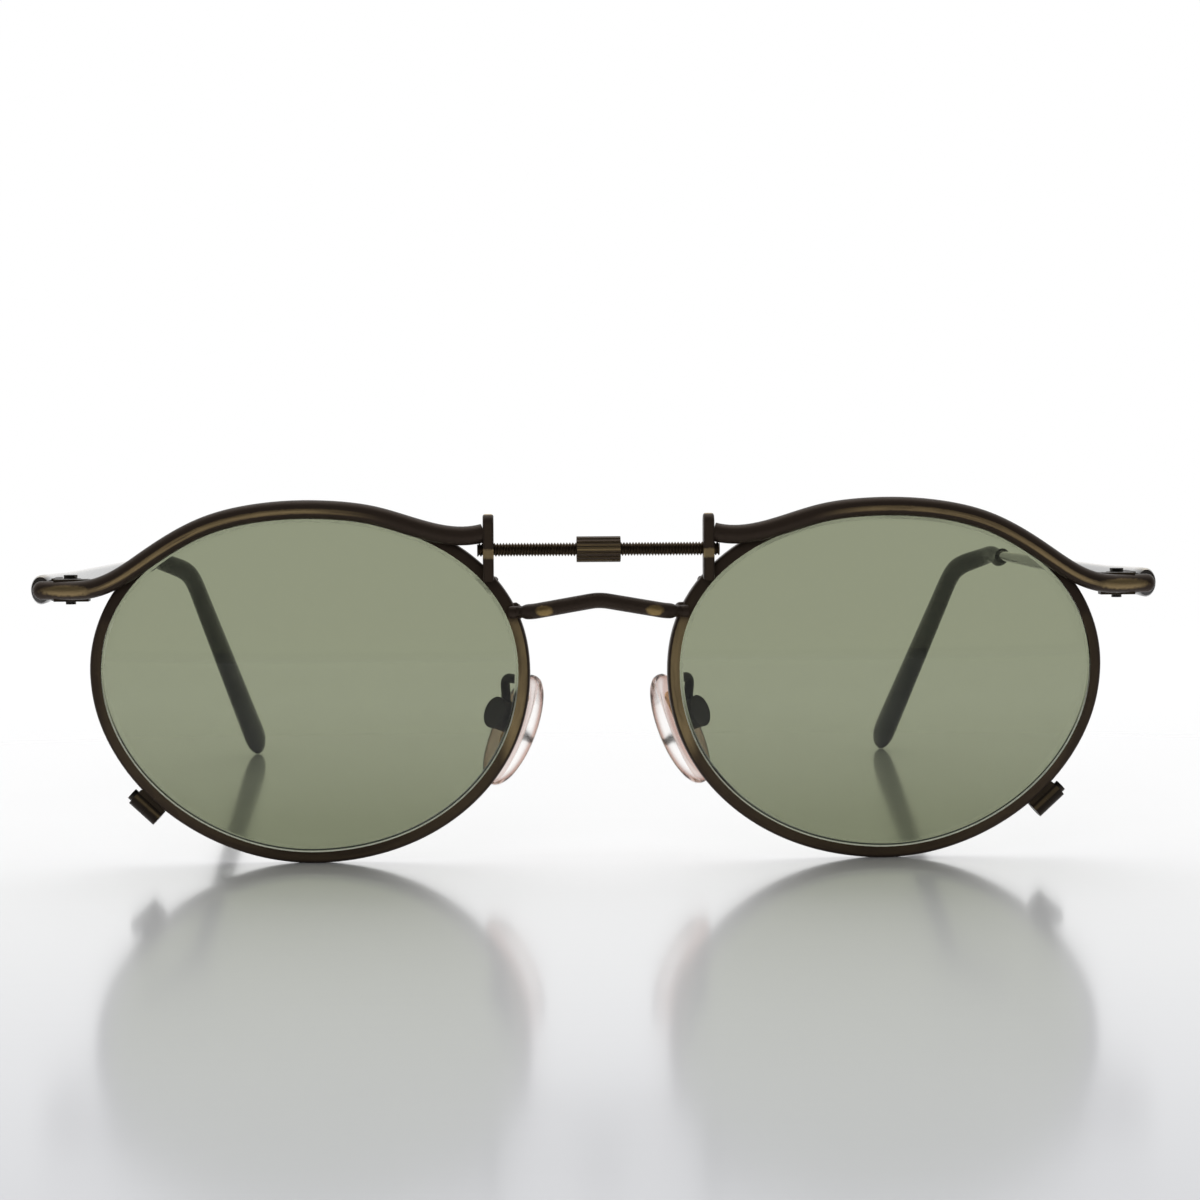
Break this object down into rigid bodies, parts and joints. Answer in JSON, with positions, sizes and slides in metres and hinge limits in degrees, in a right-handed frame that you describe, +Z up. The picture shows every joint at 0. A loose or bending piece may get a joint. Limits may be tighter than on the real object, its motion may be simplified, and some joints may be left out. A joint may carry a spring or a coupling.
{
  "type": "folding eyeglasses",
  "caption": "Oval tinted eyeglasses in antique bronze wire, with curved brow bars, a threaded rod and knurled sleeve over the bridge, adjustable nose pads and folding temples.",
  "frame": {"origin": "on the surface that the glasses stand on, below the middle of their outline", "axes": "+X to the wearer's left, +Y from the front towards the ears, +Z up"},
  "size_m": [0.133, 0.1348, 0.0424],
  "materials": {
    "dark_bronze": "antique bronze, oxidised dark with worn brass edges",
    "worn_brass": "antique brass, worn on the ridges",
    "temple_metal": "antique bronze, brushed along its length",
    "tinted_glass": "smooth grey-green tint",
    "clear_pad": "clear, soft, slightly pink at the edge",
    "gilt_insert": "bright gilt",
    "black_plastic": "smooth polished black",
    "screw_steel": "small turned screws, darkened"
  },
  "bodies": {
    "front": {"bridge": "dark_bronze", "threaded_rod": "worn_brass", "left_rim": "dark_bronze", "left_lens": "tinted_glass", "left_brow_bar": "dark_bronze", "left_post": "dark_bronze", "left_rim_lock": "dark_bronze", "left_lock_screw": "screw_steel", "left_pad_arm": "dark_bronze", "left_pad_box": "dark_bronze", "left_pad_screw": "screw_steel", "left_front_hinge": "dark_bronze", "left_hinge_screw": "screw_steel", "right_rim": "dark_bronze", "right_lens": "tinted_glass", "right_brow_bar": "dark_bronze", "right_post": "dark_bronze", "right_rim_lock": "dark_bronze", "right_lock_screw": "screw_steel", "right_pad_arm": "dark_bronze", "right_pad_box": "dark_bronze", "right_pad_screw": "screw_steel", "right_front_hinge": "dark_bronze", "right_hinge_screw": "screw_steel"},
    "left_temple": {"left_temple": "temple_metal", "left_temple_hinge": "temple_metal", "left_tip": "black_plastic"},
    "right_temple": {"right_temple": "temple_metal", "right_temple_hinge": "temple_metal", "right_tip": "black_plastic"},
    "left_pad": {"left_nose_pad": "clear_pad", "left_pad_insert": "gilt_insert"},
    "right_pad": {"right_nose_pad": "clear_pad", "right_pad_insert": "gilt_insert"},
    "sleeve": {"knurled_sleeve": "worn_brass"}
  },
  "joints": [
    {"name": "left_temple_fold", "type": "hinge", "parent": "front", "child": "left_temple", "pos_m": [0.0619, -0.05865, 0.0319], "axis": [0, 0, 1], "range_deg": [0, 84]},
    {"name": "right_temple_fold", "type": "hinge", "parent": "front", "child": "right_temple", "pos_m": [-0.0619, -0.05865, 0.0319], "axis": [0, 0, -1], "range_deg": [0, 73]},
    {"name": "left_pad_rock", "type": "hinge", "parent": "front", "child": "left_pad", "pos_m": [0.0111, -0.05752, 0.01655], "axis": [0.528, 0.8192, 0.2241], "range_deg": [-8, 8]},
    {"name": "right_pad_rock", "type": "hinge", "parent": "front", "child": "right_pad", "pos_m": [-0.0111, -0.05752, 0.01655], "axis": [0.528, -0.8192, -0.2241], "range_deg": [-8, 8]},
    {"name": "sleeve_turn", "type": "hinge", "parent": "front", "child": "sleeve", "pos_m": [0, -0.06502, 0.03645], "axis": [1, 0, 0], "continuous": true}
  ]
}
